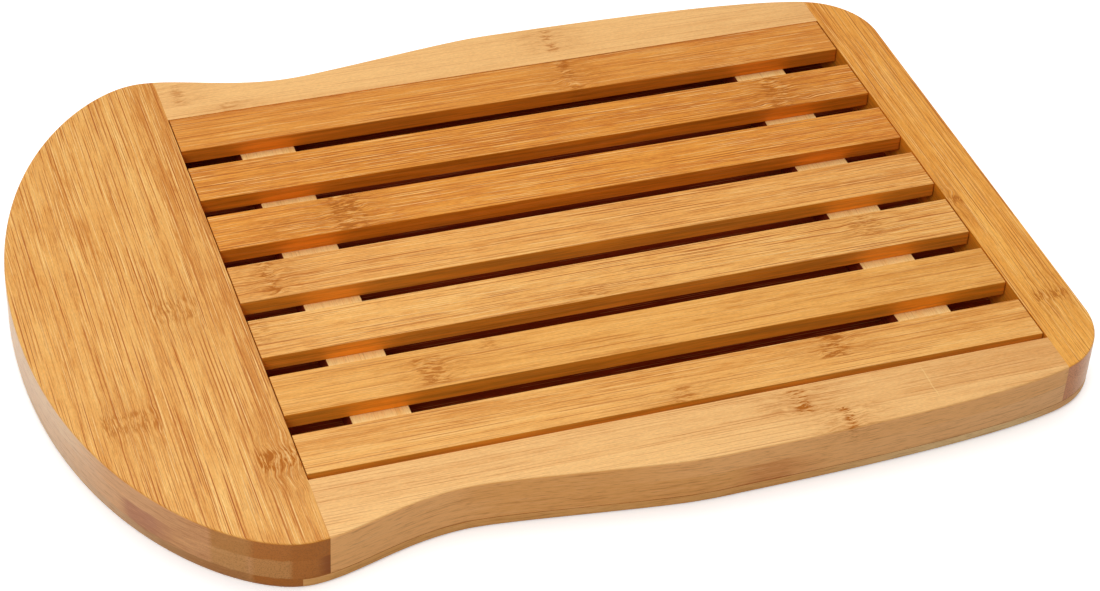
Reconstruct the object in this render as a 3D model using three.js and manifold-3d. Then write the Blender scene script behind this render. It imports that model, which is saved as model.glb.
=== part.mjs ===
// Bamboo bread board with a crumb tray under a slatted grid that lifts out.
// Millimetres. X runs along the board from the rounded head to the tail, Y to the back, Z up.
// The origin is the middle of the board's length and width, on the surface that it stands on.

import * as THREE from "three";
import { mergeVertices } from "three/addons/utils/BufferGeometryUtils.js";
import Module from "manifold-3d";

// Slats of the grid
const slatCount = 7;
const slatLength = 275.9;
const slatWidth = 21.3;
const slatThickness = 6;
const slatSpace = 10.3;
const slatEdgeRound = 0.35;

// The front slat is planed narrower on its outer edge, and the back slat stands further out
const frontSlatTrim = 0.9;
const backSlatShift = 1.1;

// Crossbars that carry the slats and stand on the tray floor
const crossbarWidth = 21.6;
const crossbarHeight = 10.2;
const crossbarInset = 23.2;
const crossbarEndInset = 2.5;
const crossbarEdgeRound = 0.6;

// Pins driven up through a crossbar into each slat
const pinShankDiameter = 1.6;
const pinHeadDiameter = 3.2;
const pinHeadThickness = 0.8;
const pinSink = 0.5;
const pinBite = 3;
const pinTipLength = 1.4;
const pinClearance = 0.3;

// Play of the grid in the recess, on each of its four sides
const headPlay = 0.4;
const tailPlay = 0.5;
const frontPlay = 2.7;
const backPlay = 0.35;

// Head board, rails and tray floor
const headLength = 79.7;
const tailRailWidth = 21.5;
const floorThickness = 4.5;
const rebateLength = 9.5;
const topEdgeRound = 1.1;
const bottomEdgeRound = 1.5;
const recessEdgeEase = 0.2;

// How far the recess lies toward the back of the board's middle
const recessShift = 0.9;

// Widths beside the recess where the outline swells and narrows, and where they lie
const shoulderSideWidth = 28.5;
const waistSideWidth = 17.05;
const bulgeSideWidth = 26.05;
const tailCornerSideWidth = 16.15;
const shoulderBeforeHeadJoint = 6.4;
const waistFromHeadJoint = 52.3;
const bulgeFromHeadJoint = 136;
const tailCornerRadius = 30;
const tailTaperAngle = THREE.MathUtils.degToRad(18);

// How far each curve of the outline holds its end directions, as shares of its span that way
const noseToShoulderShares = [0.666, 0.327];
const shoulderToWaistShares = [0.28, 0.42];
const waistToBulgeShares = [0.18, 0.2];
const bulgeToCornerShares = [0.33, 0.2];

// Dowels glued across the joints between the rails and the two end boards
const dowelDiameter = 5;
const dowelLength = 18;
const dowelFromRecess = 5;
const dowelSpacing = 13;
const dowelEase = 0.6;
const dowelClearance = 0.3;
const dowelEndSpace = 0.5;

// Overrun of every cutting body past the face it cuts
const overrun = 5;

// Steps along the curves
const headSteps = 26;
const sweepSteps = 10;
const cornerSteps = 8;
const roundSteps = 3;
const easeSteps = 2;
const turnSteps = 12;

// Sizes that follow from the ones above
const slatPitch = slatWidth + slatSpace;
const outerSlatY = slatPitch * (slatCount - 1) / 2;
const gridFrontY = frontSlatTrim - slatWidth / 2 - outerSlatY;
const gridBackY = outerSlatY + backSlatShift + slatWidth / 2;
const gridWidth = gridBackY - gridFrontY;
const recessLength = headPlay + slatLength + tailPlay;
const recessWidth = frontPlay + gridWidth + backPlay;
const rimHeight = crossbarHeight + slatThickness;
const boardHeight = floorThickness + rimHeight;
const boardLength = headLength + recessLength + tailRailWidth;
const noseX = -boardLength / 2;
const headJointX = noseX + headLength;
const tailJointX = headJointX + recessLength;
const tailEndX = tailJointX + tailRailWidth;
const recessFrontY = recessShift - recessWidth / 2;
const recessBackY = recessShift + recessWidth / 2;
const beyondX = boardLength / 2 + overrun;
const beyondY = recessWidth / 2 + Math.max(shoulderSideWidth, bulgeSideWidth) + overrun;
const crossbarLength = gridWidth - 2 * crossbarEndInset;
const crossbarOffsetX = slatLength / 2 - crossbarInset - crossbarWidth / 2;
const pinLength = crossbarHeight - pinSink + pinBite;

// Colours of the bamboo and the steel
const headColour = 0xe3ab68;
const railColour = 0xebbd7e;
const slatColour = 0xdb9a58;
const crossbarColour = 0xe6c492;
const floorColour = 0xc48d52;
const dowelColour = 0xd9b27c;
const steelColour = 0xb9b9b6;

const wasm = await Module();
wasm.setup();

// The triangles of a geometry as a solid that can be cut and joined.
function solidFrom(geometry) {
  const bare = geometry.clone();
  bare.deleteAttribute("normal");
  bare.deleteAttribute("uv");
  const merged = mergeVertices(bare);
  return new wasm.Manifold(new wasm.Mesh({
    numProp: 3,
    vertProperties: merged.attributes.position.array,
    triVerts: Uint32Array.from(merged.index.array),
  }));
}

function geometryFrom(solid) {
  const mesh = solid.getMesh();
  const geometry = new THREE.BufferGeometry();
  geometry.setAttribute("position", new THREE.BufferAttribute(mesh.vertProperties, 3));
  geometry.setIndex(new THREE.BufferAttribute(mesh.triVerts, 1));
  geometry.computeVertexNormals();
  return geometry;
}

// A block between two opposite corners.
function block(low, high) {
  const size = new THREE.Vector3(...high).sub(new THREE.Vector3(...low));
  const middle = new THREE.Vector3(...high).add(new THREE.Vector3(...low)).divideScalar(2);
  const geometry = new THREE.BoxGeometry(size.x, size.y, size.z);
  geometry.translate(middle.x, middle.y, middle.z);
  return solidFrom(geometry);
}

// A closed round body about the Z axis, from points of radius and height.
function turned(profile) {
  const points = profile.map(([radius, height]) => new THREE.Vector2(radius, height));
  const geometry = new THREE.LatheGeometry(points, turnSteps);
  geometry.rotateX(Math.PI / 2);
  return geometry;
}

// A flat shape raised from low to high, with its edges rounded over at both ends.
function raised(shape, low, high, round, steps) {
  const geometry = new THREE.ExtrudeGeometry(shape, {
    depth: high - low - 2 * round,
    steps: 1,
    bevelEnabled: true,
    bevelThickness: round,
    bevelSize: round,
    bevelOffset: -round,
    bevelSegments: steps,
  });
  geometry.translate(0, 0, low + round);
  return geometry;
}

function rectangle(length, width) {
  const shape = new THREE.Shape();
  shape.moveTo(-length / 2, -width / 2);
  shape.lineTo(length / 2, -width / 2);
  shape.lineTo(length / 2, width / 2);
  shape.lineTo(-length / 2, width / 2);
  shape.closePath();
  return shape;
}

// A smooth curve from one point and direction to another, held by a share of its span at each end.
function sweep(from, fromDirection, to, toDirection, shares) {
  const span = to.clone().sub(from);
  const leave = from.clone().addScaledVector(fromDirection, shares[0] * span.dot(fromDirection));
  const arrive = to.clone().addScaledVector(toDirection, -shares[1] * span.dot(toDirection));
  return new THREE.CubicBezierCurve(from, leave, arrive, to);
}

// The back half of the board's outline, from the nose to the tail's end face.
function backHalfOutline() {
  const across = new THREE.Vector2(0, 1);
  const along = new THREE.Vector2(1, 0);
  const taper = new THREE.Vector2(Math.cos(tailTaperAngle), -Math.sin(tailTaperAngle));
  const beside = (fromHeadJoint, sideWidth) =>
    new THREE.Vector2(headJointX + fromHeadJoint, recessWidth / 2 + sideWidth);
  const nose = new THREE.Vector2(noseX, 0);
  const shoulder = beside(-shoulderBeforeHeadJoint, shoulderSideWidth);
  const waist = beside(waistFromHeadJoint, waistSideWidth);
  const bulge = beside(bulgeFromHeadJoint, bulgeSideWidth);
  const cornerStartY = recessWidth / 2 + tailCornerSideWidth;
  const corner = new THREE.EllipseCurve(
    tailEndX - tailCornerRadius, cornerStartY - tailCornerRadius * Math.cos(tailTaperAngle),
    tailCornerRadius, tailCornerRadius, Math.PI / 2 - tailTaperAngle, 0, true);
  const head = sweep(nose, across, shoulder, along, noseToShoulderShares);
  const toWaist = sweep(shoulder, along, waist, along, shoulderToWaistShares);
  const toBulge = sweep(waist, along, bulge, along, waistToBulgeShares);
  const toCorner = sweep(bulge, along, corner.getPoint(0), taper, bulgeToCornerShares);
  return [
    ...head.getSpacedPoints(headSteps),
    ...toWaist.getPoints(sweepSteps).slice(1),
    ...toBulge.getPoints(sweepSteps).slice(1),
    ...toCorner.getPoints(sweepSteps).slice(1),
    ...corner.getPoints(cornerSteps).slice(1),
  ];
}

function boardOutline() {
  const back = backHalfOutline();
  const front = back.slice(1).map((point) => new THREE.Vector2(point.x, -point.y));
  return new THREE.Shape([back[0], ...front, ...back.slice(1).reverse()]);
}

// The whole board before it is divided: the round on its lower edge is wider than the upper one.
function boardBlank() {
  const outline = boardOutline();
  const topRounded = raised(outline, -overrun, boardHeight, topEdgeRound, roundSteps);
  const bottomRounded = raised(outline, 0, boardHeight + overrun, bottomEdgeRound, roundSteps);
  return solidFrom(topRounded).intersect(solidFrom(bottomRounded));
}

// The recess above the tray floor, with the flare that eases its upper edge.
function recessCutter() {
  const well = block(
    [headJointX, recessFrontY, floorThickness],
    [tailJointX, recessBackY, boardHeight + overrun]);
  const flare = new THREE.ExtrudeGeometry(rectangle(recessLength, recessWidth), {
    depth: overrun,
    steps: 1,
    bevelEnabled: true,
    bevelThickness: recessEdgeEase,
    bevelSize: recessEdgeEase,
    bevelSegments: 1,
  });
  flare.translate((headJointX + tailJointX) / 2, recessShift, boardHeight);
  return well.add(solidFrom(flare));
}

// Places of the dowels: at the head two in each corner, at the tail one.
function dowelPlaces() {
  const places = [];
  for (const [side, sign] of [["front", -1], ["back", 1]]) {
    const inner = recessShift + sign * (recessWidth / 2 + dowelFromRecess);
    const outer = inner + sign * dowelSpacing;
    places.push({ name: `head_${side}_inner_dowel`, x: headJointX, y: inner });
    places.push({ name: `head_${side}_outer_dowel`, x: headJointX, y: outer });
    places.push({ name: `tail_${side}_dowel`, x: tailJointX, y: inner });
  }
  return places;
}

const dowelHeight = floorThickness + rimHeight / 2;

function dowelGeometry() {
  const radius = dowelDiameter / 2;
  const half = dowelLength / 2;
  const geometry = turned([
    [0, -half],
    [radius - dowelEase, -half],
    [radius, dowelEase - half],
    [radius, half - dowelEase],
    [radius - dowelEase, half],
    [0, half],
  ]);
  geometry.rotateY(Math.PI / 2);
  return geometry;
}

// All the holes that the dowels are glued into.
function dowelBores() {
  const radius = dowelDiameter / 2 + dowelClearance;
  const half = dowelLength / 2 + dowelEndSpace;
  const bores = dowelPlaces().map(({ x, y }) => {
    const bore = turned([[0, -half], [radius, -half], [radius, half], [0, half]]);
    bore.rotateY(Math.PI / 2);
    bore.translate(x, y, dowelHeight);
    return solidFrom(bore);
  });
  return bores.reduce((joined, bore) => joined.add(bore));
}

// The boards of the frame, cut from one blank so that the outline runs on across every joint.
function framePieces() {
  const blank = boardBlank();
  const cut = recessCutter().add(dowelBores());
  const part = (low, high) => blank.intersect(block(low, high)).subtract(cut);
  const rebate = block(
    [headJointX - rebateLength, -beyondY, -overrun],
    [headJointX + overrun, beyondY, floorThickness]);
  const top = boardHeight + overrun;
  return {
    head_board: part([-beyondX, -beyondY, -overrun], [headJointX, beyondY, top]).subtract(rebate),
    tail_rail: part([tailJointX, -beyondY, floorThickness], [beyondX, beyondY, top]),
    front_rail: part([headJointX, -beyondY, floorThickness], [tailJointX, recessFrontY, top]),
    back_rail: part([headJointX, recessBackY, floorThickness], [tailJointX, beyondY, top]),
    tray_floor: blank.intersect(block(
      [headJointX - rebateLength, -beyondY, -overrun],
      [beyondX, beyondY, floorThickness])),
  };
}

// A pin with a flat head at the bottom and a point at the top, standing on z = 0.
function pinGeometry() {
  const headRadius = pinHeadDiameter / 2;
  const shankRadius = pinShankDiameter / 2;
  return turned([
    [0, 0],
    [headRadius, 0],
    [headRadius, pinHeadThickness],
    [shankRadius, pinHeadThickness],
    [shankRadius, pinLength - pinTipLength],
    [0, pinLength],
  ]);
}

// The hole for one pin, about the pin's own axis and measured from the crossbar's underside.
function pinBore() {
  const headRadius = pinHeadDiameter / 2 + pinClearance;
  const shankRadius = pinShankDiameter / 2 + pinClearance;
  const shoulder = pinSink + pinHeadThickness + pinClearance;
  return turned([
    [0, -overrun],
    [headRadius, -overrun],
    [headRadius, shoulder],
    [shankRadius, shoulder],
    [shankRadius, pinSink + pinLength + pinClearance],
    [0, pinSink + pinLength + pinClearance],
  ]);
}

// Where a slat's pins stand, from the middle slat.
function slatY(index) {
  const shift = index === slatCount - 1 ? backSlatShift : 0;
  return index * slatPitch - outerSlatY + shift;
}

// One slat with its two blind pin holes, narrowed on its front edge by the trim.
function slatGeometry(trim) {
  const bar = raised(
    rectangle(slatLength, slatWidth - trim), crossbarHeight, rimHeight, slatEdgeRound, easeSteps);
  bar.translate(0, trim / 2, 0);
  let slat = solidFrom(bar);
  for (const sign of [-1, 1]) {
    const bore = pinBore();
    bore.translate(sign * crossbarOffsetX, 0, 0);
    slat = slat.subtract(solidFrom(bore));
  }
  return geometryFrom(slat);
}

// One crossbar with a sunk hole under each slat, reaching as far under the front slat as the back.
function crossbarGeometry() {
  const bar = raised(
    rectangle(crossbarWidth, crossbarLength), 0, crossbarHeight, crossbarEdgeRound, easeSteps);
  bar.translate(0, (gridFrontY + gridBackY) / 2, 0);
  let crossbar = solidFrom(bar);
  for (let index = 0; index < slatCount; index += 1) {
    const bore = pinBore();
    bore.translate(0, slatY(index), 0);
    crossbar = crossbar.subtract(solidFrom(bore));
  }
  return geometryFrom(crossbar);
}

function bamboo(colour) {
  return new THREE.MeshStandardMaterial({ color: colour, roughness: 0.55, metalness: 0 });
}

function steel() {
  return new THREE.MeshStandardMaterial({ color: steelColour, roughness: 0.35, metalness: 0.9 });
}

function named(name, geometry, material) {
  const mesh = new THREE.Mesh(geometry, material);
  mesh.name = name;
  return mesh;
}

// The fixed frame: head board, rails, tray floor and the dowels in its joints.
function board() {
  const group = new THREE.Group();
  const pieces = framePieces();
  group.add(named("tray_floor", geometryFrom(pieces.tray_floor), bamboo(floorColour)));
  group.add(named("head_board", geometryFrom(pieces.head_board), bamboo(headColour)));
  group.add(named("tail_rail", geometryFrom(pieces.tail_rail), bamboo(headColour)));
  group.add(named("front_rail", geometryFrom(pieces.front_rail), bamboo(railColour)));
  group.add(named("back_rail", geometryFrom(pieces.back_rail), bamboo(railColour)));
  const dowelShape = dowelGeometry();
  for (const { name, x, y } of dowelPlaces()) {
    const dowel = named(name, dowelShape, bamboo(dowelColour));
    dowel.position.set(x, y, dowelHeight);
    group.add(dowel);
  }
  return group;
}

// The grid that lifts out: slats on two crossbars, held by pins from below.
function grid() {
  const group = new THREE.Group();
  const frontSlatShape = slatGeometry(frontSlatTrim);
  const slatShape = slatGeometry(0);
  const crossbarShape = crossbarGeometry();
  const pinShape = pinGeometry();
  for (const [end, sign] of [["head", -1], ["tail", 1]]) {
    const crossbar = named(`${end}_crossbar`, crossbarShape, bamboo(crossbarColour));
    crossbar.position.x = sign * crossbarOffsetX;
    group.add(crossbar);
  }
  for (let index = 0; index < slatCount; index += 1) {
    const number = index + 1;
    const shape = index === 0 ? frontSlatShape : slatShape;
    const slat = named(`slat_${number}`, shape, bamboo(slatColour));
    slat.position.y = slatY(index);
    group.add(slat);
    for (const [end, sign] of [["head", -1], ["tail", 1]]) {
      const pin = named(`slat_${number}_${end}_pin`, pinShape, steel());
      pin.position.set(sign * crossbarOffsetX, slatY(index), pinSink);
      group.add(pin);
    }
  }
  const middleX = (headJointX + headPlay + tailJointX - tailPlay) / 2;
  group.position.set(middleX, recessFrontY + frontPlay - gridFrontY, floorThickness);
  return group;
}

const breadBoard = new THREE.Group();
breadBoard.add(board());
breadBoard.add(grid());

export default breadBoard;
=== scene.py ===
import math

import bmesh
import bpy
from mathutils import Matrix, Vector
from mathutils.geometry import interpolate_bezier


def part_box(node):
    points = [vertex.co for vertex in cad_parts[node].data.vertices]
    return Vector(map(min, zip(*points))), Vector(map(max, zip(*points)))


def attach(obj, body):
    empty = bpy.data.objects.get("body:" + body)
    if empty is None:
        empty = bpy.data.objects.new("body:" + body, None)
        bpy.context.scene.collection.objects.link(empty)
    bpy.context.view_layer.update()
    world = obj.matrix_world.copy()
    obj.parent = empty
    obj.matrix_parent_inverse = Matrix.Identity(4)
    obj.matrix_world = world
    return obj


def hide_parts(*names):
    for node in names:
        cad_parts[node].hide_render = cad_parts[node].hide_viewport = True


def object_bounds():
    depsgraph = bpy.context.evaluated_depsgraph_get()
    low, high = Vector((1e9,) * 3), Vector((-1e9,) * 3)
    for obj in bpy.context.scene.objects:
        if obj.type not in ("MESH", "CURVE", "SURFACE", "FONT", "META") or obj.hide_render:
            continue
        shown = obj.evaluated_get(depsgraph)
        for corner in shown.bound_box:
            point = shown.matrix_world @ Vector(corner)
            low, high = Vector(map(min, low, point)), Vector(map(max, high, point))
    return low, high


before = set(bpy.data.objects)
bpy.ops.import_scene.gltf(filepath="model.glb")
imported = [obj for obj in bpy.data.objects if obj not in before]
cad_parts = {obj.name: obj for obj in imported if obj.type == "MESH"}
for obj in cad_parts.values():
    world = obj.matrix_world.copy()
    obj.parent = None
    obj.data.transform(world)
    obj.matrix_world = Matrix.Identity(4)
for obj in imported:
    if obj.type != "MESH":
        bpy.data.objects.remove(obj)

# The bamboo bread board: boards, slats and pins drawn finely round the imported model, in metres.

MM = 0.001
cad_low, cad_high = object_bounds()

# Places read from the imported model
_, HEAD_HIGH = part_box("head_board")
TAIL_LOW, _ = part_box("tail_rail")
_, FRONT_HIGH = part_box("front_rail")
BACK_LOW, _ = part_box("back_rail")
FLOOR_LOW, FLOOR_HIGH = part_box("tray_floor")
BOARD_TOP = HEAD_HIGH.z
FLOOR_TOP = FLOOR_HIGH.z
HEAD_JOINT = HEAD_HIGH.x
TAIL_JOINT = TAIL_LOW.x
REBATE_START = FLOOR_LOW.x
RECESS_FRONT = FRONT_HIGH.y
RECESS_BACK = BACK_LOW.y
SLATS = sorted(
    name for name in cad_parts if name.startswith("slat_") and name.count("_") == 1)
ENDS = ("head", "tail")

# Rounds and steps of the fine boards
PACKED_ROUND = 1.1 * MM
TOP_ROUND = 0.7 * MM
BOTTOM_ROUND = 2.0 * MM
RECESS_ROUND = 0.12 * MM
SEAM_EASE = 0.12 * MM
ROUND_STEPS = 6
QUARTER_TURN = [math.pi / 2 * i / ROUND_STEPS for i in range(ROUND_STEPS + 1)]
OUTLINE_STEP = 1.3 * MM
STRAIGHT_SIDE = 40 * MM
SAME_POINT = 0.02 * MM
BEZIER_HOLD = 1 / 3
OVERRUN = 5 * MM
SMOOTH_ANGLE = math.radians(32)

# Slats, crossbars, pins and dowels
SLAT_ROUND = 0.25 * MM
CROSSBAR_ROUND = 0.6 * MM
BAR_STEPS = 4
BORE_CLEARANCE = 0.3 * MM
BORE_SIDES = 32
PIN_HEAD_HEIGHT = 0.8 * MM
PIN_TIP = 1.4 * MM
PIN_SHANK = 1.6 * MM
PIN_RINGS = 5
PIN_RING_SPACE = 0.9 * MM
PIN_RING_DEPTH = 0.09 * MM
PIN_RING_FOOT = 0.15
PIN_RING_SLOPE = 0.8
PIN_DOME = 0.12 * MM
PIN_DOME_SHAPE = ((0.3, 0), (0.75, 0.35))
PIN_EASE = 0.15 * MM
PIN_RIM = 0.4
PIN_TIP_BLUNT = 0.1 * MM
PIN_TIP_END = 0.03 * MM
DOWEL_FLUTES = 12
DOWEL_SIDES = 4 * DOWEL_FLUTES
DOWEL_FLUTE_DEPTH = 0.12 * MM
DOWEL_EASE = 0.6 * MM
DOWEL_END_SPACE = 0.5 * MM
TURN_SIDES = 48


# Mesh helpers


def new_object(name, data, material=None):
    made = bpy.data.objects.new(name, data)
    bpy.context.scene.collection.objects.link(made)
    if material:
        data.materials.append(material)
    return made


def mesh_from(name, build):
    """A mesh filled by a function that works on a bmesh, with its faces pointing out."""
    body = bmesh.new()
    build(body)
    bmesh.ops.recalc_face_normals(body, faces=body.faces)
    mesh = bpy.data.meshes.new(name)
    body.to_mesh(mesh)
    body.free()
    return mesh


def stack_rings(body, rings):
    """Joins rings with as many points each into one closed body with a flat face at both ends."""
    rows = [[body.verts.new(point) for point in ring] for ring in rings]
    count = len(rows[0])
    for lower, upper in zip(rows, rows[1:]):
        for i in range(count):
            j = (i + 1) % count
            body.faces.new((lower[i], lower[j], upper[j], upper[i]))
    body.faces.new(reversed(rows[0]))
    body.faces.new(rows[-1])


def block(low, high):
    """A block between two corners, for cutting with."""
    (x0, y0, z0), (x1, y1, z1) = low, high
    rings = [[(x0, y0, z), (x1, y0, z), (x1, y1, z), (x0, y1, z)] for z in (z0, z1)]
    return mesh_from("block", lambda body: stack_rings(body, rings))


def turned(profile, place, sides=TURN_SIDES):
    """A body of revolution about Z from (radius, height) points, turned and moved by a matrix."""
    def build(body):
        angles = [2 * math.pi * i / sides for i in range(sides)]
        rings = [[(r * math.cos(a), r * math.sin(a), z) for a in angles] for r, z in profile]
        stack_rings(body, rings)
        bmesh.ops.transform(body, matrix=place, verts=body.verts)
    return mesh_from("turned", build)


def lying_along_x(middle):
    """The place of a turned body whose axis lies along X."""
    return Matrix.Translation(middle) @ Matrix.Rotation(math.pi / 2, 4, "Y")


def bar(low, high, edge_round):
    """A planed bar between two corners, with all its edges rounded."""
    def build(body):
        size = Vector(high) - Vector(low)
        middle = (Vector(high) + Vector(low)) / 2
        bmesh.ops.create_cube(body, size=1)
        bmesh.ops.transform(
            body, matrix=Matrix.Translation(middle) @ Matrix.Diagonal(size).to_4x4(), verts=body.verts)
        bmesh.ops.bevel(
            body, geom=body.edges[:], offset=edge_round, segments=BAR_STEPS, profile=0.5, affect="EDGES")
    return mesh_from("bar", build)


def joined(meshes):
    """Separate bodies in one mesh."""
    body = bmesh.new()
    for mesh in meshes:
        body.from_mesh(mesh)
    together = bpy.data.meshes.new("joined")
    body.to_mesh(together)
    body.free()
    return together


def cut(mesh, tool, operation="DIFFERENCE"):
    """The mesh after an exact boolean with the tool."""
    piece = new_object("cut", mesh)
    cutter = new_object("tool", tool)
    modifier = piece.modifiers.new("cut", "BOOLEAN")
    modifier.operation = operation
    modifier.solver = "EXACT"
    modifier.object = cutter
    seen = piece.evaluated_get(bpy.context.evaluated_depsgraph_get())
    result = bpy.data.meshes.new_from_object(seen)
    bpy.data.objects.remove(piece)
    bpy.data.objects.remove(cutter)
    return result


def finished(name, mesh, material, body_name, node):
    """A piece with even shading that rides on its body and stands for its node."""
    mesh.name = name
    mesh.materials.clear()
    mesh.shade_smooth()
    mesh.set_sharp_from_angle(angle=SMOOTH_ANGLE)
    piece = new_object(name, mesh, material)
    normals = piece.modifiers.new("normals", "WEIGHTED_NORMAL")
    normals.keep_sharp = True
    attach(piece, body_name)
    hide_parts(node)


# The boards of the frame


def outline_corners():
    """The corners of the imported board's outline, on its straight wall, in order round the board."""
    level = BOARD_TOP - PACKED_ROUND
    found = []
    for name in ("head_board", "front_rail", "tail_rail", "back_rail"):
        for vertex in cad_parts[name].data.vertices:
            x, y, z = vertex.co
            at_joint = min(abs(x - HEAD_JOINT), abs(x - TAIL_JOINT)) < SAME_POINT
            if abs(z - level) < SAME_POINT and not at_joint:
                found.append(Vector((x, y, 0)))
    found.sort(key=lambda point: math.atan2(point.y, point.x))
    return [p for i, p in enumerate(found) if (p - found[i - 1]).length > SAME_POINT]


def smooth_outline(corners):
    """A smooth closed curve through the corners; a long side stays straight."""
    count = len(corners)
    spans = [corners[(i + 1) % count] - corners[i] for i in range(count)]
    directions = []
    for before, after in zip([spans[-1], *spans], spans):
        if after.length > STRAIGHT_SIDE:
            directions.append(after.normalized())
        elif before.length > STRAIGHT_SIDE:
            directions.append(before.normalized())
        else:
            mixed = before.normalized() * after.length + after.normalized() * before.length
            directions.append(mixed.normalized())
    points = []
    for i, span in enumerate(spans):
        j = (i + 1) % count
        hold = span.length * BEZIER_HOLD
        steps = 1 if span.length > STRAIGHT_SIDE else math.ceil(span.length / OUTLINE_STEP)
        curve = interpolate_bezier(
            corners[i], corners[i] + directions[i] * hold,
            corners[j] - directions[j] * hold, corners[j], steps + 1)
        points.extend(curve[:-1])
    return points


def outline_normals(outline):
    """The outward direction at each point of an outline that runs anticlockwise."""
    normals = []
    for i, point in enumerate(outline):
        along = outline[(i + 1) % len(outline)] - outline[i - 1]
        normals.append(Vector((along.y, -along.x, 0)).normalized())
    return normals


def board_blank(outline, seam):
    """The whole board in one piece, its edges rounded over, with or without the floor's eased seam."""
    normals = outline_normals(outline)
    levels = [
        (BOTTOM_ROUND * (1 - math.cos(a)), BOTTOM_ROUND * (1 - math.sin(a))) for a in QUARTER_TURN]
    if seam:
        levels += [(FLOOR_TOP - SEAM_EASE, 0), (FLOOR_TOP, SEAM_EASE), (FLOOR_TOP + SEAM_EASE, 0)]
    levels += [
        (BOARD_TOP - TOP_ROUND * (1 - math.sin(a)), TOP_ROUND * (1 - math.cos(a)))
        for a in QUARTER_TURN]
    rings = [
        [p - n * inset + Vector((0, 0, height)) for p, n in zip(outline, normals)]
        for height, inset in levels]
    return mesh_from("blank", lambda body: stack_rings(body, rings))


def recess_tool():
    """The space above the tray floor, widening in a small round at the top."""
    levels = [(FLOOR_TOP, 0)]
    levels += [
        (BOARD_TOP - RECESS_ROUND * (1 - math.sin(a)), RECESS_ROUND * (1 - math.cos(a)))
        for a in QUARTER_TURN]
    levels.append((BOARD_TOP + OVERRUN, RECESS_ROUND))
    rings = []
    for height, out in levels:
        rings.append([
            (HEAD_JOINT - out, RECESS_FRONT - out, height),
            (TAIL_JOINT + out, RECESS_FRONT - out, height),
            (TAIL_JOINT + out, RECESS_BACK + out, height),
            (HEAD_JOINT - out, RECESS_BACK + out, height)])
    return mesh_from("recess", lambda body: stack_rings(body, rings))


def dowel_names():
    return [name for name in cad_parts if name.endswith("_dowel")]


def dowel_bores():
    bores = []
    for name in dowel_names():
        low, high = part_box(name)
        radius = (high.z - low.z) / 2 + BORE_CLEARANCE
        half = (high.x - low.x) / 2 + DOWEL_END_SPACE
        place = lying_along_x((low + high) / 2)
        bores.append(turned([(radius, -half), (radius, half)], place, BORE_SIDES))
    return joined(bores)


def add_frame_boards(materials):
    outline = smooth_outline(outline_corners())
    far = cad_high - cad_low
    bottom = -OVERRUN
    top = BOARD_TOP + OVERRUN
    holes = (recess_tool(), dowel_bores())
    rebate = block((REBATE_START, -far.y, bottom), (HEAD_JOINT + OVERRUN, far.y, FLOOR_TOP))
    boards = {
        "head_board": ("head_bamboo", (-far.x, -far.y, bottom), (HEAD_JOINT, far.y, top)),
        "tail_rail": ("tail_bamboo", (TAIL_JOINT, -far.y, FLOOR_TOP), (far.x, far.y, top)),
        "front_rail": (
            "rail_bamboo", (HEAD_JOINT, -far.y, FLOOR_TOP), (TAIL_JOINT, RECESS_FRONT, top)),
        "back_rail": ("rail_bamboo", (HEAD_JOINT, RECESS_BACK, FLOOR_TOP), (TAIL_JOINT, far.y, top)),
        "tray_floor": ("floor_bamboo", (REBATE_START, -far.y, bottom), (far.x, far.y, FLOOR_TOP)),
    }
    for name, (slot, low, high) in boards.items():
        blank = board_blank(outline, seam=name != "head_board")
        mesh = cut(blank, block(low, high), "INTERSECT")
        if name != "tray_floor":
            for hole in holes:
                mesh = cut(mesh, hole)
        if name == "head_board":
            mesh = cut(mesh, rebate)
        finished(f"{name}_bamboo", mesh, materials[name], "board", name)


def fluted_ring(radius, height, place):
    """One ring of a fluted dowel, moved to its place."""
    ring = []
    for i in range(DOWEL_SIDES):
        angle = 2 * math.pi * i / DOWEL_SIDES
        flute = DOWEL_FLUTE_DEPTH * (0.5 - 0.5 * math.cos(DOWEL_FLUTES * angle))
        r = radius - flute
        ring.append(place @ Vector((r * math.cos(angle), r * math.sin(angle), height)))
    return ring


def add_dowels(material):
    for name in dowel_names():
        low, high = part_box(name)
        radius = (high.z - low.z) / 2
        half = (high.x - low.x) / 2
        place = lying_along_x((low + high) / 2)
        profile = [
            (radius - DOWEL_EASE, -half), (radius, DOWEL_EASE - half),
            (radius, half - DOWEL_EASE), (radius - DOWEL_EASE, half)]
        rings = [fluted_ring(ring_radius, height, place) for ring_radius, height in profile]
        mesh = mesh_from(name, lambda body: stack_rings(body, rings))
        finished(f"{name}_fluted", mesh, material, "board", name)


# The grid


def pin_bore(pin_name):
    """The stepped hole round one pin, open at the crossbar's underside."""
    low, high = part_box(pin_name)
    x, y = (low.x + high.x) / 2, (low.y + high.y) / 2
    head = (high.x - low.x) / 2 + BORE_CLEARANCE
    shank = PIN_SHANK / 2 + BORE_CLEARANCE
    step = low.z + PIN_HEAD_HEIGHT + BORE_CLEARANCE
    profile = [
        (head, low.z - OVERRUN), (head, step), (shank, step), (shank, high.z + BORE_CLEARANCE)]
    return turned(profile, Matrix.Translation((x, y, 0)), BORE_SIDES)


def add_grid_bars(materials):
    for end in ENDS:
        name = f"{end}_crossbar"
        holes = joined([pin_bore(f"{slat}_{end}_pin") for slat in SLATS])
        mesh = cut(bar(*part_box(name), CROSSBAR_ROUND), holes)
        finished(f"{name}_bamboo", mesh, materials["crossbar"], "grid", name)
    for slat in SLATS:
        holes = joined([pin_bore(f"{slat}_{end}_pin") for end in ENDS])
        mesh = cut(bar(*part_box(slat), SLAT_ROUND), holes)
        finished(f"{slat}_bamboo", mesh, materials[slat], "grid", slat)


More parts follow.
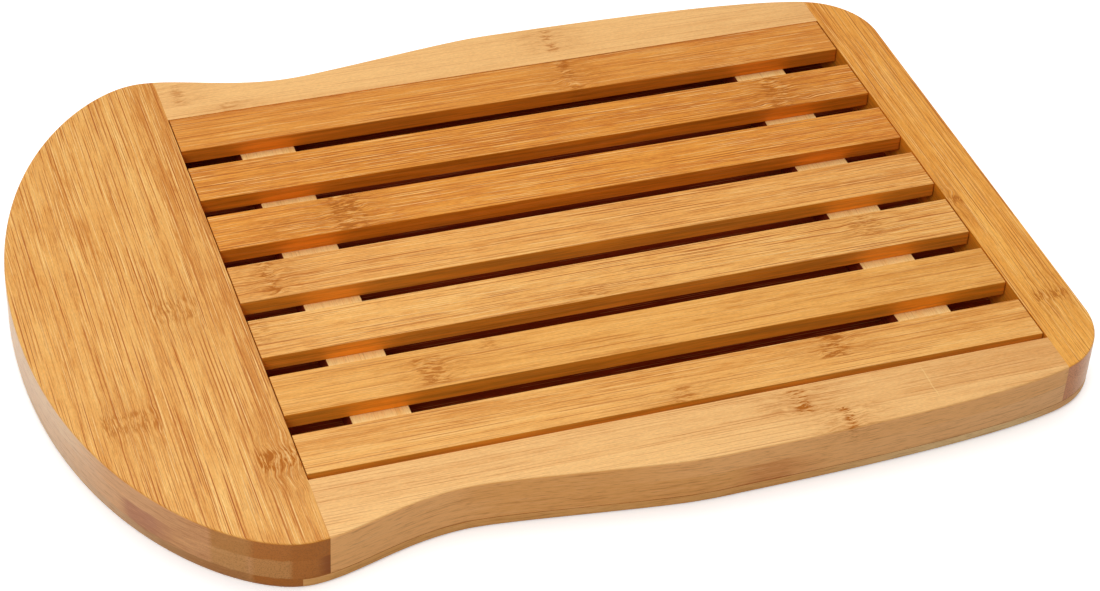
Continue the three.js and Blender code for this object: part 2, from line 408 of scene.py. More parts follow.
def pin_profile(head_radius, length):
    """A nail from its slightly domed head up to its point, with rings below the point."""
    shank = PIN_SHANK / 2
    points = [(head_radius * out, PIN_DOME * up) for out, up in PIN_DOME_SHAPE]
    points += [
        (head_radius - PIN_EASE * PIN_RIM, PIN_DOME), (head_radius, PIN_DOME + PIN_EASE),
        (head_radius, PIN_HEAD_HEIGHT - PIN_EASE), (head_radius - PIN_EASE, PIN_HEAD_HEIGHT),
        (shank, PIN_HEAD_HEIGHT)]
    first_ring = length - PIN_TIP - PIN_RINGS * PIN_RING_SPACE
    for i in range(PIN_RINGS):
        start = first_ring + i * PIN_RING_SPACE
        points += [
            (shank, start), (shank - PIN_RING_DEPTH, start + PIN_RING_SPACE * PIN_RING_FOOT),
            (shank, start + PIN_RING_SPACE * PIN_RING_SLOPE)]
    points += [
        (shank, length - PIN_TIP), (PIN_TIP_BLUNT, length - PIN_TIP_BLUNT), (PIN_TIP_END, length)]
    return points


def add_pins(material):
    for slat in SLATS:
        for end in ENDS:
            name = f"{slat}_{end}_pin"
            low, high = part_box(name)
            place = Matrix.Translation(((low.x + high.x) / 2, (low.y + high.y) / 2, low.z))
            mesh = turned(pin_profile((high.x - low.x) / 2, high.z - low.z), place)
            finished(f"{name}_steel", mesh, material, "grid", name)


# Materials


def linear(red, green, blue):
    """A colour given in display values from 0 to 255, as the renderer's linear colour."""
    def channel(value):
        share = value / 255
        return share / 12.92 if share <= 0.04045 else ((share + 0.055) / 1.055) ** 2.4
    return (channel(red), channel(green), channel(blue), 1)


WHITE = (1, 1, 1, 1)
# Sockets of a colour mix node, by number because its names repeat
MIX_FIRST = 6
MIX_SECOND = 7
MIX_RESULT = 2
# Sockets of a number mix node, likewise
LEVEL_FIRST = 2
LEVEL_SECOND = 3


class Nodes:
    """A node tree, with short calls that add a node and return its output."""

    def __init__(self, tree):
        self.tree = tree

    def node(self, kind, **settings):
        made = self.tree.nodes.new(kind)
        for key, value in settings.items():
            setattr(made, key, value)
        return made

    def feed(self, socket, value):
        if isinstance(value, bpy.types.NodeSocket):
            self.tree.links.new(value, socket)
        else:
            socket.default_value = value

    def math(self, operation, *values):
        made = self.node("ShaderNodeMath", operation=operation)
        for socket, value in zip(made.inputs, values):
            self.feed(socket, value)
        return made.outputs[0]

    def total(self, *values):
        result = values[0]
        for value in values[1:]:
            result = self.math("ADD", result, value)
        return result

    def product(self, *values):
        result = values[0]
        for value in values[1:]:
            result = self.math("MULTIPLY", result, value)
        return result

    def swing(self, value, reach):
        """A value from 0 to 1 as a swing of up to reach either way."""
        return self.math("MULTIPLY", self.math("SUBTRACT", value, 0.5), 2 * reach)

    def rise(self, value, start, end, low=0.0, high=1.0):
        """A soft step from low at start to high at end."""
        made = self.node("ShaderNodeMapRange", interpolation_type="SMOOTHSTEP")
        for socket, given in zip(made.inputs, (value, start, end, low, high)):
            self.feed(socket, given)
        return made.outputs[0]

    def window(self, value, low, high, soft):
        """1 between low and high and 0 outside, over a soft edge."""
        return self.product(
            self.rise(value, low - soft, low + soft), self.rise(value, high + soft, high - soft))

    def vector(self, x, y, z):
        made = self.node("ShaderNodeCombineXYZ")
        for socket, value in zip(made.inputs, (x, y, z)):
            self.feed(socket, value)
        return made.outputs[0]

    def split(self, vector):
        made = self.node("ShaderNodeSeparateXYZ")
        self.feed(made.inputs[0], vector)
        return made.outputs

    def noise(self, vector, detail, roughness):
        made = self.node("ShaderNodeTexNoise", noise_dimensions="3D")
        self.feed(made.inputs["Vector"], vector)
        made.inputs["Scale"].default_value = 1
        made.inputs["Detail"].default_value = detail
        made.inputs["Roughness"].default_value = roughness
        return made.outputs[0]

    def grain(self, name, place):
        """Noise of a grain in the table, at a place."""
        sizes, detail, roughness = GRAINS[name]
        stretched = self.vector(*(self.math("DIVIDE", value, size) for value, size in zip(place, sizes)))
        return self.noise(stretched, detail, roughness)

    def random(self, x, y, z):
        """A random value for whole numbers, and a random colour for them."""
        made = self.node("ShaderNodeTexWhiteNoise", noise_dimensions="3D")
        self.feed(made.inputs["Vector"], self.vector(x, y, z))
        return made.outputs["Value"], made.outputs["Color"]

    def mix(self, factor, first, second, blend="MIX"):
        made = self.node("ShaderNodeMix", data_type="RGBA", blend_type=blend)
        made.clamp_factor = True
        self.feed(made.inputs[0], factor)
        self.feed(made.inputs[MIX_FIRST], first)
        self.feed(made.inputs[MIX_SECOND], second)
        return made.outputs[MIX_RESULT]

    def tint(self, colour, share, tone):
        """The colour with a share of a tone given in display values."""
        return self.mix(share, colour, linear(*tone))

    def shaded(self, colour, shade):
        """The colour times a number."""
        return self.mix(1.0, colour, self.vector(shade, shade, shade), "MULTIPLY")

    def ramp(self, value, low, high, stops):
        """Colours at places between low and high, blended from one place to the next."""
        made = self.node("ShaderNodeValToRGB")
        self.feed(made.inputs[0], self.math(
            "DIVIDE", self.math("SUBTRACT", value, low), high - low))
        elements = made.color_ramp.elements
        for _ in stops[2:]:
            elements.new(0.5)
        for element, (place, _) in zip(elements, stops):
            element.position = (place - low) / (high - low)
        for element, (_, colour) in zip(elements, stops):
            element.color = linear(*colour)
        return made.outputs[0]


class Shader(Nodes):
    """A material's node tree."""

    def __init__(self, name):
        self.material = bpy.data.materials.new(name)
        self.material.use_nodes = True
        super().__init__(self.material.node_tree)
        self.surface = self.tree.nodes["Principled BSDF"]

    def relief(self, height, depth, strength):
        """Fine relief from a height between 0 and 1."""
        bump = self.node("ShaderNodeBump")
        bump.inputs["Strength"].default_value = strength
        bump.inputs["Distance"].default_value = depth
        self.feed(bump.inputs["Height"], height)
        self.feed(self.surface.inputs["Normal"], bump.outputs[0])

    def finish(self, colour, roughness, gloss):
        self.feed(self.surface.inputs["Base Color"], colour)
        self.feed(self.surface.inputs["Roughness"], roughness)
        self.surface.inputs["Specular IOR Level"].default_value = gloss
        return self.material

    def in_mm(self, place):
        """The three coordinates of a place, in millimetres."""
        return [self.math("MULTIPLY", part, 1 / MM) for part in self.split(place)]


# Tones of the bamboo, as (pale, middle, deep) of each board
TONES = {
    "head": ((242, 188, 107), (230, 167, 85), (205, 132, 52)),
    "tail": ((244, 178, 82), (232, 159, 64), (208, 129, 40)),
    "rail": ((248, 204, 140), (242, 189, 120), (219, 156, 87)),
    # The floor tones are painted shade: the tray floor's top is coloured dark for the shade under the
    # grid.
    "floor": ((186, 92, 38), (164, 72, 26), (134, 52, 16)),
    "crossbar": ((255, 228, 162), (255, 215, 142), (247, 192, 110)),
    "slat_1": ((247, 193, 113), (238, 175, 93), (212, 139, 56)),
    "slat_2": ((246, 189, 104), (236, 171, 85), (209, 137, 51)),
    "slat_3": ((248, 191, 109), (237, 173, 90), (211, 137, 56)),
    "slat_4": ((246, 187, 103), (235, 167, 84), (208, 133, 52)),
    "slat_5": ((242, 168, 70), (229, 151, 55), (200, 113, 30)),
    "slat_6": ((235, 159, 63), (222, 143, 48), (194, 108, 24)),
    "slat_7": ((233, 161, 69), (220, 143, 54), (193, 108, 27)),
}
LINE_BROWN = (168, 84, 2)
LINE_PALE = (250, 208, 136)
FLECK_BROWN = (173, 95, 0)
HALO_BROWN = (186, 106, 2)
END_BROWN = (150, 94, 48)
CARAMEL = (231, 143, 30)
GOLDEN_CARAMEL = (234, 160, 46)
DEEP_CARAMEL = (221, 124, 24)
# Painted shade: the crossbars' sides are coloured dark for the deep shade under the slats.
CROSSBAR_SIDE_PAINTED_SHADE = (134, 54, 26)
WOOD_GLOSS = 0.085
FLOOR_GLOSS = 0.01
STEEL_GLOSS = 0.5
STEEL_PALE = (196, 196, 194)
STEEL_DULL = (158, 157, 153)
STEEL_POLISH = 0.2
STEEL_WEAR = 0.25
STEEL_RELIEF = 0.02 * MM
STEEL_RELIEF_STRENGTH = 0.4

# Strips and plies of the laminated boards, in millimetres
PLY_HEIGHTS = (5, 13)
STRIP_WIDTH = 19
STRIP_SHIFT = 400
# Painted falloff of the light: how the tone darkens along a board towards the tail end, and on the tail
# rail towards the back, as (start, end, shift at the start, shift at the end)
SLAT_PAINTED_FALLOFF = (70, 165, 0.0, -0.1)
FRONT_PAINTED_FALLOFF = (70, 165, 0.0, -0.2)
BACK_PAINTED_FALLOFF = (70, 165, 0.0, -0.08)
TAIL_PAINTED_FALLOFF = (-100, 100, 0.2, -0.15)

# Noises, as (size of a grain along each coordinate in millimetres, detail, roughness)
GRAINS = {
    "wander": ((2.6, 30, 1), 2, 0.5),
    "drift": ((150, 24, 1), 2, 0.5),
    "bend": ((11, 6, 1), 1, 0.5),
    "bands": ((140, 3.0, 1), 3, 0.6),
    "clouds": ((34, 7.0, 1), 2, 0.5),
    "fine": ((8, 0.36, 1), 2, 0.6),
    "grit": ((1.5, 0.4, 0.4), 2, 0.6),
    "dashes": ((4.6, 0.7, 0.7), 3, 0.6),
    "side_streaks": ((45, 45, 1.6), 3, 0.6),
    "end_dots": ((9, 0.5, 0.5), 1, 0.5),
    "wall_streaks": ((26, 26, 1.1), 4, 0.62),
    "wall_fibres": ((5, 5, 0.32), 2, 0.6),
    "drawn_steel": ((0.12, 0.12, 4), 2, 0.5),
}
STEEL_PATCHES = (3, 0.5)

# Dark and pale threads, as (distance between two, length, share of the seed)
BOLD_THREADS = (1.4, 55, 0.1)
THIN_THREADS = (0.85, 22, 0.2)
BRIGHT_THREADS = (1.0, 26, 0.3)
THREAD_STARTS = 60
THREAD_START_ROW = 0.5
THREAD_MIDDLE = (0.6, 0.2)
THREAD_HALF = (0.09, 0.07)

# Soft steps, as (start, end) or (start, end, low, high)
THREAD_EDGE_STEP = (1.7, 0.5)
THREAD_START_STEP = (0.0, 0.2)
THREAD_END_STEP = (1.0, 0.7)
THREAD_STRENGTH_STEP = (0.15, 0.95)
UNDERSIDE_STEP = (-0.3, -0.7)
PALE_STEP = (0.5, 0.95)
DEEP_STEP = (0.5, 0.08)
FINE_STEP = (0.52, 0.7)
HALO_STEP = (0.2, 0.7, 0.02, 0.26)
FLECK_STEP = (0.48, 0.57)
GLEAM_STEP = (0.45, 0.33)
STEEP_STEP = (0.8, 0.45)
SIDE_SHADE_STEP = (0.25, 0.75, 0.72, 1.28)
END_GRAIN_STEP = (0.55, 0.95)
END_DOT_STEP = (0.4, 0.62)
WALL_DOT_STEP = (0.5, 0.64)
OUTWARD_STEP = (0, 10)
CALM_STEP = (0.0, 1.0, 1.0, 0.4)
DARK_STREAK_STEP = (0.52, 0.72, 0.0, 0.5)
PALE_STREAK_STEP = (0.46, 0.3, 0.0, 0.4)
DARK_FIBRE_STEP = (0.5, 0.75, 0.0, 0.45)
PALE_FIBRE_STEP = (0.47, 0.3, 0.0, 0.3)
WALL_FLECK_STEP = (12, 17)
ROUGHNESS_STEP = (0.2, 0.9, 0.3, 0.42)

# Joints of the cane, fibres and scratches, in millimetres
JOINT_WANDER = 3.0
JOINT_SOFT = 0.6
BAND_OUTER = 2.5
BAND_INNER = 1.5
JOINT_REACH = 22
FIBRE_DRIFT = 1.2
FIBRE_BEND = 2.6
FIBRE_LEAN = 1.7
PATCH_SOFT = 0.3
SCRATCH_WANDER = 0.8
SCRATCH_OUTER = 0.1
SCRATCH_INNER = 0.05
SCRATCH_ENDS = 2
WALL_WANDER = 0.6
PLY_WANDER = 0.9
PLY_SOFT = 0.2

# How far each cause shifts the tone, and the share of each colour laid over it
TONE_MIDDLE = 0.5
STRIP_SWING = 0.14
BAND_SWING = 0.5
CLOUD_SWING = 0.3
FINE_SWING = 0.6
GRIT_SWING = 0.2
SIDE_SWING = 0.2
WALL_SWING = 0.5
BRIGHT_SHARE = 0.5
BOLD_SHARE = 0.62
THIN_SHARE = 0.5
FINE_SHARE = 0.3
BAND_SHARE = 0.15
RIPPLE_SHARE = 0.35
GLEAM_SHARE = 0.4
SCRATCH_SHARE = 0.45
SIDE_SHARE = 0.8
WALL_DOT_SHARE = 0.4
WALL_FLECK_SHARE = 0.6
END_SHARE = 0.6

# Fine relief of the wood, and how much rougher its flecks are
FINE_HEIGHT = 0.5
BOLD_DEPTH = 0.5
THIN_DEPTH = 0.25
FLECK_DEPTH = 0.8
FLECK_ROUGHNESS = 0.4
WOOD_RELIEF = 0.05 * MM
WOOD_RELIEF_STRENGTH = 0.5

# Tones of the outer walls, and where each ply of a board has them, from the bottom ply up
# The cream is the nose's pale wood with a painted sheen of the white floor on its grazing wall.
WALL_CREAM_PAINTED_SHEEN = (252, 212, 170)
WALL_MILK = (255, 216, 156)
WALL_OAT = (233, 176, 125)
WALL_PALE = (255, 196, 134)
WALL_SAND = (240, 178, 106)
WALL_TAN = (254, 188, 118)
WALL_GOLD = (243, 174, 100)
WALL_AMBER = (231, 157, 90)
WALL_ROSE = (200, 112, 54)
WALL_CLAY = (220, 158, 106)
WALL_FAWN = (212, 153, 92)
WALL_NUT = (208, 146, 84)
WALL_WALNUT = (200, 137, 74)
WALL_HAZEL = (199, 147, 96)
WALL_RUSSET = (186, 126, 72)
WALL_CHESTNUT = (192, 118, 54)
WALL_BROWN = (186, 112, 48)
WALL_UMBER = (176, 106, 54)
WALL_KNOT = (156, 86, 38)
WALL_PUCE = (202, 138, 102)
WALL_SALMON = (228, 154, 106)
WALL_PEACH = (243, 180, 132)
# The blush is a painted sheen of the white floor on the tail's rounded corner.
WALL_BLUSH_PAINTED_SHEEN = (255, 214, 178)
WALL_REACH = 190
FLOOR_WALLS = (
    ((-118, WALL_SAND), (60, WALL_SAND), (112, WALL_MILK), (150, WALL_MILK), (166, WALL_PALE),
     (186, WALL_PALE), (188.6, WALL_SAND)),
)
RAIL_WALLS = (
    ((-66, WALL_TAN), (-44, WALL_GOLD), (30, WALL_GOLD), (42, WALL_ROSE), (54, WALL_ROSE),
     (70, WALL_TAN), (165, WALL_PALE)),
    ((-66, WALL_TAN), (-44, WALL_GOLD), (34, WALL_GOLD), (44, WALL_AMBER), (54, WALL_AMBER),
     (70, WALL_TAN), (165, WALL_PALE)),
    ((-66, WALL_TAN), (-54, WALL_GOLD), (-14, WALL_GOLD), (30, WALL_TAN), (165, WALL_TAN)),
)
# The cream at the head's nose is pale wood with a painted sheen.
HEAD_WALLS = (
    ((-189, WALL_CREAM_PAINTED_SHEEN), (-158, WALL_HAZEL), (-146, WALL_RUSSET), (-135.2, WALL_RUSSET),
     (-135, WALL_NUT), (-134.2, WALL_NUT), (-134, WALL_BROWN), (-109, WALL_BROWN)),
    ((-189, WALL_CREAM_PAINTED_SHEEN), (-169.4, WALL_OAT), (-168.9, WALL_PUCE), (-162, WALL_PUCE),
     (-156, WALL_CLAY), (-146.2, WALL_CLAY), (-146, WALL_FAWN), (-135.2, WALL_FAWN),
     (-135, WALL_CLAY), (-134.2, WALL_CLAY), (-134, WALL_NUT), (-122.8, WALL_NUT),
     (-122.5, WALL_CHESTNUT), (-114, WALL_CHESTNUT), (-110.5, WALL_KNOT)),
    ((-182, WALL_CREAM_PAINTED_SHEEN), (-172, WALL_OAT), (-150, WALL_CLAY), (-146.2, WALL_CLAY),
     (-146, WALL_WALNUT), (-135.2, WALL_WALNUT), (-134.8, WALL_CHESTNUT), (-123, WALL_CHESTNUT),
     (-122.6, WALL_BROWN), (-109, WALL_BROWN)),
)
# Towards the tail's rounded corner the wall pales through peach to a blush that is painted sheen.
TAIL_WALLS = (
    ((170, WALL_SALMON), (177, WALL_PEACH), (186, WALL_BLUSH_PAINTED_SHEEN), (188.6, WALL_TAN)),
    ((170, WALL_SALMON), (177, WALL_PEACH), (186, WALL_BLUSH_PAINTED_SHEEN), (188.6, WALL_TAN)),
    ((172, WALL_SALMON), (179, WALL_PEACH), (186, WALL_BLUSH_PAINTED_SHEEN), (188.6, WALL_GOLD)),
)
# How strongly each slat's fibre lines show, and the colour of its sides, from front to back
SLAT_LINES = (1.05, 0.85, 1.7, 1.4, 1.55, 1.75, 1.2)
SLAT_SIDES = (
    GOLDEN_CARAMEL, CARAMEL, CARAMEL, CARAMEL, DEEP_CARAMEL, DEEP_CARAMEL, DEEP_CARAMEL)
FIRST_SLAT_SEED = 11


class Bamboo(Shader):
    """Laminated bamboo: strips of one width, fibres along them and joints of the cane across them."""

    def __init__(self, name, along, strip_edge, marks, seed):
        super().__init__(name)
        coordinates = self.node("ShaderNodeTexCoord")
        self.place = self.in_mm(coordinates.outputs["Object"])
        self.normal = self.split(coordinates.outputs["Normal"])
        self.find_strips(along, strip_edge, seed)
        self.find_joints(marks)
        self.find_fibres(seed)

    def find_strips(self, along, strip_edge, seed):
        """Places along and across the fibres, the ply, and each strip's own tone and grain."""
        x, y, z = self.place
        self.a, self.c, end = (x, y, self.normal[0]) if along == "X" else (y, x, self.normal[1])
        self.cut_across = self.rise(self.math("ABSOLUTE", end), *END_GRAIN_STEP)
        self.ply = self.total(*(self.math("GREATER_THAN", z, height) for height in PLY_HEIGHTS))
        strip = self.math(
            "FLOOR", self.math("DIVIDE", self.math("SUBTRACT", self.c, strip_edge), STRIP_WIDTH))
        self.tone, drawn = self.random(strip, self.ply, seed)
        shift = self.split(drawn)
        self.a_strip = self.math("ADD", self.a, self.math("MULTIPLY", shift[0], STRIP_SHIFT))
        self.c_strip = self.math("ADD", self.c, self.math("MULTIPLY", shift[1], STRIP_SHIFT))

    def distance(self, place_along, wander):
        """The distance along the fibres from a place on a wandering line."""
        return self.math("ABSOLUTE", self.math(
            "SUBTRACT", self.math("SUBTRACT", self.a, place_along), wander))

    def find_joints(self, marks):
        """A band across the strip that wanders, and the wider stretch that it disturbs."""
        wander = self.swing(self.grain("wander", (self.c, self.a, self.ply)), JOINT_WANDER)
        self.band, self.reach = 0.0, 0.0
        for place_along, low, high, half, strength in marks:
            off = self.distance(place_along, wander)
            window = self.product(self.window(self.c, low, high, JOINT_SOFT), strength)
            band = self.product(window, self.rise(off, half + BAND_OUTER, half - BAND_INNER))
            reach = self.product(window, self.rise(off, half + JOINT_REACH, half))
            self.band = self.math("MAXIMUM", self.band, band)
            self.reach = self.math("MAXIMUM", self.reach, reach)

    def find_fibres(self, seed):
        """Fibres run straight, with a slow drift, and bend a little round the cane's joints."""
        z = self.place[2]
        on_strip = (self.a_strip, self.c_strip, self.ply)
        drift = self.swing(self.grain("drift", on_strip), FIBRE_DRIFT)
        bend = self.product(
            self.swing(self.grain("bend", on_strip), FIBRE_BEND), self.reach, self.reach)
        self.across = self.total(self.c_strip, drift, bend, self.product(z, FIBRE_LEAN))
        on_fibre = (self.a_strip, self.across, self.ply)
        self.bands, self.clouds, self.fine = (
            self.grain(name, on_fibre) for name in ("bands", "clouds", "fine"))
        self.bold, self.thin, self.bright = (
            self.threads(kind, seed) for kind in (BOLD_THREADS, THIN_THREADS, BRIGHT_THREADS))

    def threads(self, kind, seed):
        """Threads side by side, each with its own place, width, ends and strength."""
        pitch, length, seed_share = kind
        row = self.math("DIVIDE", self.across, pitch)
        lane = self.math("FLOOR", row)
        _, start = self.random(lane, seed + seed_share, THREAD_START_ROW)
        run = self.math(
            "ADD", self.math("DIVIDE", self.a_strip, length),
            self.product(self.split(start)[0], THREAD_STARTS))
        strength, shape = self.random(lane, self.math("FLOOR", run), seed + seed_share)
        shape = self.split(shape)
        middle, half = (
            self.math("ADD", self.math("MULTIPLY", part, spread), least)
            for part, (spread, least) in zip(shape, (THREAD_MIDDLE, THREAD_HALF)))
        off = self.math("ABSOLUTE", self.math("SUBTRACT", self.math("FRACT", row), middle))
        body = self.rise(self.math("DIVIDE", off, half), *THREAD_EDGE_STEP)
        done = self.math("FRACT", run)
        ends = self.product(self.rise(done, *THREAD_START_STEP), self.rise(done, *THREAD_END_STEP))
        return self.product(body, ends, self.rise(strength, *THREAD_STRENGTH_STEP))

    def tone_level(self, lines, figure, patches, painted_falloff):
        """How pale the wood is, from 0 to 1, with the painted falloff of the light when one is given."""
        level = self.total(
            TONE_MIDDLE, self.swing(self.tone, STRIP_SWING),
            self.swing(self.bands, BAND_SWING * figure), self.swing(self.clouds, CLOUD_SWING * figure),
            self.swing(self.fine, FINE_SWING * lines),
            *(self.product(self.window(self.c, low, high, PATCH_SOFT), amount)
              for low, high, amount in patches))
        return self.math("ADD", level, self.rise(self.a, *painted_falloff)) if painted_falloff else level

    def tones_with_underside(self, tones, below):
        """The three tones, which may change to others on the underside."""
        upper = [linear(*tone) for tone in tones]
        if not below:
            return upper
        under = self.rise(self.normal[2], *UNDERSIDE_STEP)
        return [self.tint(tone, under, other) for tone, other in zip(upper, below)]

    def top_colour(self, level, tones, lines):
        """The wood's colour at its level of tone, with its lines along the fibres."""
        pale, middle, deep = tones
        colour = self.mix(self.rise(level, *PALE_STEP), middle, pale)
        colour = self.mix(self.rise(level, *DEEP_STEP), colour, deep)
        colour = self.tint(colour, self.product(self.bright, BRIGHT_SHARE * lines), LINE_PALE)
        colour = self.tint(colour, self.product(self.bold, BOLD_SHARE * lines), LINE_BROWN)
        colour = self.tint(colour, self.product(self.thin, THIN_SHARE * lines), LINE_BROWN)
        return self.tint(colour, self.rise(self.fine, *FINE_STEP, 0.0, FINE_SHARE * lines), LINE_BROWN)

    def add_joints(self, colour):
        """Darkens the cane's joints, with short dark and pale dashes along the bent fibres."""
        in_wood = (self.a_strip, self.across, self.place[2])
        dashes = self.grain("dashes", in_wood)
        halo = self.product(self.reach, self.rise(self.clouds, *HALO_STEP))
        colour = self.tint(colour, halo, HALO_BROWN)
        colour = self.tint(colour, self.product(self.band, BAND_SHARE), HALO_BROWN)
        ripple = self.math("MAXIMUM", self.band, self.product(self.reach, RIPPLE_SHARE))
        self.flecks = self.product(ripple, self.rise(dashes, *FLECK_STEP))
        gleams = self.product(ripple, self.rise(dashes, *GLEAM_STEP))
        colour = self.tint(colour, self.flecks, FLECK_BROWN)
        colour = self.tint(colour, self.product(gleams, GLEAM_SHARE), LINE_PALE)
        shade = self.math("ADD", self.swing(self.grain("grit", in_wood), GRIT_SWING), 1.0)
        return self.shaded(colour, shade)

    def add_scratches(self, colour, scratches):
        for place_along, low, high, half in scratches:
            off = self.distance(place_along, self.swing(self.clouds, SCRATCH_WANDER))
            line = self.product(
                self.rise(off, half + SCRATCH_OUTER, half - SCRATCH_INNER),
                self.window(self.c, low, high, SCRATCH_ENDS))
            colour = self.tint(colour, self.product(line, SCRATCH_SHARE), LINE_PALE)
        return colour

    def add_sides(self, colour, sides, side_share):
        """The colour of the steep sides, streaked: warmer side grain on most boards, painted shade on
        the crossbars.
        """
        self.steep = self.rise(self.math("ABSOLUTE", self.normal[2]), *STEEP_STEP)
        streaks = self.grain("side_streaks", (self.a_strip, self.c, self.place[2]))
        shade = self.rise(self.total(streaks, self.swing(self.fine, SIDE_SWING)), *SIDE_SHADE_STEP)
        side = self.shaded(linear(*sides), shade)
        return self.mix(self.product(self.steep, side_share), colour, side)

    def end_dots(self):
        """The cut fibres on end grain."""
        return self.grain("end_dots", (self.a_strip, self.c_strip, self.place[2]))

    def add_ends(self, colour, middle):
        """End grain, which is browner and dotted with the cut fibres."""
        end_colour = self.mix(self.rise(self.end_dots(), *END_DOT_STEP), linear(*END_BROWN), middle)
        return self.mix(self.product(self.cut_across, END_SHARE), colour, end_colour)

    def wall_tone(self, walls):
        """The outer wall's tone, ply by ply."""
        x, _, z = self.place
        reach = self.math("ADD", x, self.swing(self.clouds, WALL_WANDER))
        level = self.math("ADD", z, self.swing(self.clouds, PLY_WANDER))
        colours = [self.ramp(reach, -WALL_REACH, WALL_REACH, stops) for stops in walls]
        colour = colours[0]
        for height, upper in zip(PLY_HEIGHTS, colours[1:]):
            colour = self.mix(self.rise(level, height - PLY_SOFT, height + PLY_SOFT), colour, upper)
        return colour

    def add_walls(self, colour, walls):
        """The outer wall, streaked along the fibres and dotted where they are cut."""
        x, y, z = self.place
        outward = self.rise(
            self.total(self.product(self.normal[0], x), self.product(self.normal[1], y)), *OUTWARD_STEP)
        calm = self.rise(self.cut_across, *CALM_STEP)
        streaks, fibres = (
            self.math("MULTIPLY_ADD", self.swing(self.grain(name, self.place), WALL_SWING), calm, 0.5)
            for name in ("wall_streaks", "wall_fibres"))
        wall = self.wall_tone(walls)
        wall = self.tint(wall, self.rise(streaks, *DARK_STREAK_STEP), WALL_BROWN)
        wall = self.tint(wall, self.rise(streaks, *PALE_STREAK_STEP), WALL_PALE)
        wall = self.tint(wall, self.rise(fibres, *DARK_FIBRE_STEP), WALL_UMBER)
        wall = self.tint(wall, self.rise(fibres, *PALE_FIBRE_STEP), WALL_PALE)
        dots = self.product(self.cut_across, self.rise(self.end_dots(), *WALL_DOT_STEP))
        wall = self.tint(wall, self.product(dots, WALL_DOT_SHARE), END_BROWN)
        flecks = self.product(self.flecks, self.rise(z, *WALL_FLECK_STEP))
        wall = self.tint(wall, self.product(flecks, WALL_FLECK_SHARE), FLECK_BROWN)
        return self.mix(self.product(self.steep, outward), colour, wall)

    def planed(self, colour, gloss):
        """The finished material, with fine relief and a little roughness in its flecks."""
        lowered = self.total(
            self.product(self.bold, BOLD_DEPTH), self.product(self.thin, THIN_DEPTH),
            self.product(self.flecks, FLECK_DEPTH))
        height = self.math("SUBTRACT", self.math("MULTIPLY", self.fine, FINE_HEIGHT), lowered)
        self.relief(height, WOOD_RELIEF, WOOD_RELIEF_STRENGTH)
        rough = self.math("ADD", self.fine, self.product(self.flecks, FLECK_ROUGHNESS))
        return self.finish(colour, self.rise(rough, *ROUGHNESS_STEP), gloss)


def bamboo(name, tones, along, strip_edge, marks, seed, lines, figure=1.0, walls=None,
           patches=(), scratches=(), sides=CARAMEL, side_share=SIDE_SHARE, gloss=WOOD_GLOSS,
           painted_falloff=None, below=None):
    """The bamboo of one board.

    along is the axis of the fibres and strip_edge is where one strip ends. Each mark is
    (place along, low edge across, high edge across, half width, strength), each patch is
    (low edge across, high edge across, shift of the tone) and each scratch is (place along,
    low edge across, high edge across, half width), all in millimetres. lines and figure say how
    strongly the fibre lines and the broad bands show, painted_falloff shifts the tone along the
    fibres to paint the falloff of the light, and below gives the tones of a differently coloured
    underside, as on the floor, whose top tones are painted shade.
    """
    wood = Bamboo(name, along, strip_edge, marks, seed)
    tones = wood.tones_with_underside(tones, below)
    colour = wood.top_colour(wood.tone_level(lines, figure, patches, painted_falloff), tones, lines)
    colour = wood.add_scratches(wood.add_joints(colour), scratches)
    colour = wood.add_sides(colour, sides, side_share)
    colour = wood.add_walls(colour, walls) if walls else wood.add_ends(colour, tones[1])
    return wood.planed(colour, gloss)


def steel(name):
    """Bright nail wire with faint drawn lines and dull patches."""
    shader = Shader(name)
    place = shader.in_mm(shader.node("ShaderNodeTexCoord").outputs["Object"])
    patches = shader.noise(shader.vector(*place), *STEEL_PATCHES)
    colour = shader.mix(patches, linear(*STEEL_PALE), linear(*STEEL_DULL))
    roughness = shader.math("ADD", shader.math("MULTIPLY", patches, STEEL_WEAR), STEEL_POLISH)
    shader.surface.inputs["Metallic"].default_value = 1
    shader.relief(shader.grain("drawn_steel", place), STEEL_RELIEF, STEEL_RELIEF_STRENGTH)
    return shader.finish(colour, roughness, STEEL_GLOSS)


# Joints of the cane on each board, as (place along the fibres, low edge across, high edge across,
# half width of the band, strength), in millimetres. Across is measured in the board's frame.
MARKS = {
    "head": ((-7, -141, -124, 6, 0.6), (-62, -170, -150, 5, 0.6), (-94, -123, -109, 5, 1.0)),
    "tail": ((-21, 167, 173, 2, 0.9), (-84, 173, 187, 3, 0.8)),
    "front_rail": ((67, -121, -108, 3, 1.0), (80, -137, -121, 1.5, 1.2)),
    "back_rail": ((-102, 116, 131, 2, 0.5), (-84, 107, 114, 3, 0.5), (53, 114, 131, 2, 0.7)),
    "slat_1": ((90, -95.5, -83, 5, 0.9), (28, -104, -95.5, 4, 0.7)),
    "slat_2": ((-53, -71, -56, 5, 0.8), (-30, -58, -51, 3, 0.5)),
    "slat_3": ((17, -41, -34, 5, 0.6), (130, -33, -20, 6, 0.6), (-106, -34, -20, 3, 0.5)),
    "slat_4": ((-95, -8, 12, 2.5, 1.0),),
    "slat_5": ((-57, 22, 43, 6, 1.0), (-85, 23, 36, 6, 0.35)),
    "slat_6": ((131, 54, 75, 5, 1.0),),
    "slat_7": ((53, 86, 108, 2.5, 1.0),),
}
STRIP_EDGES = {
    "head": -123, "tail": 173, "front_rail": -122, "back_rail": 114, "slat_1": -95.5, "slat_2": -56,
    "slat_3": -34, "slat_4": -8, "slat_5": 22, "slat_6": 53, "slat_7": 86,
}
HEAD_PATCHES = ((-123, -109, -0.12), (-161, -142, 0.06), (-142, -123, 0.08))
FRONT_SCRATCHES = ((115.5, -125, -109, 0.2),)


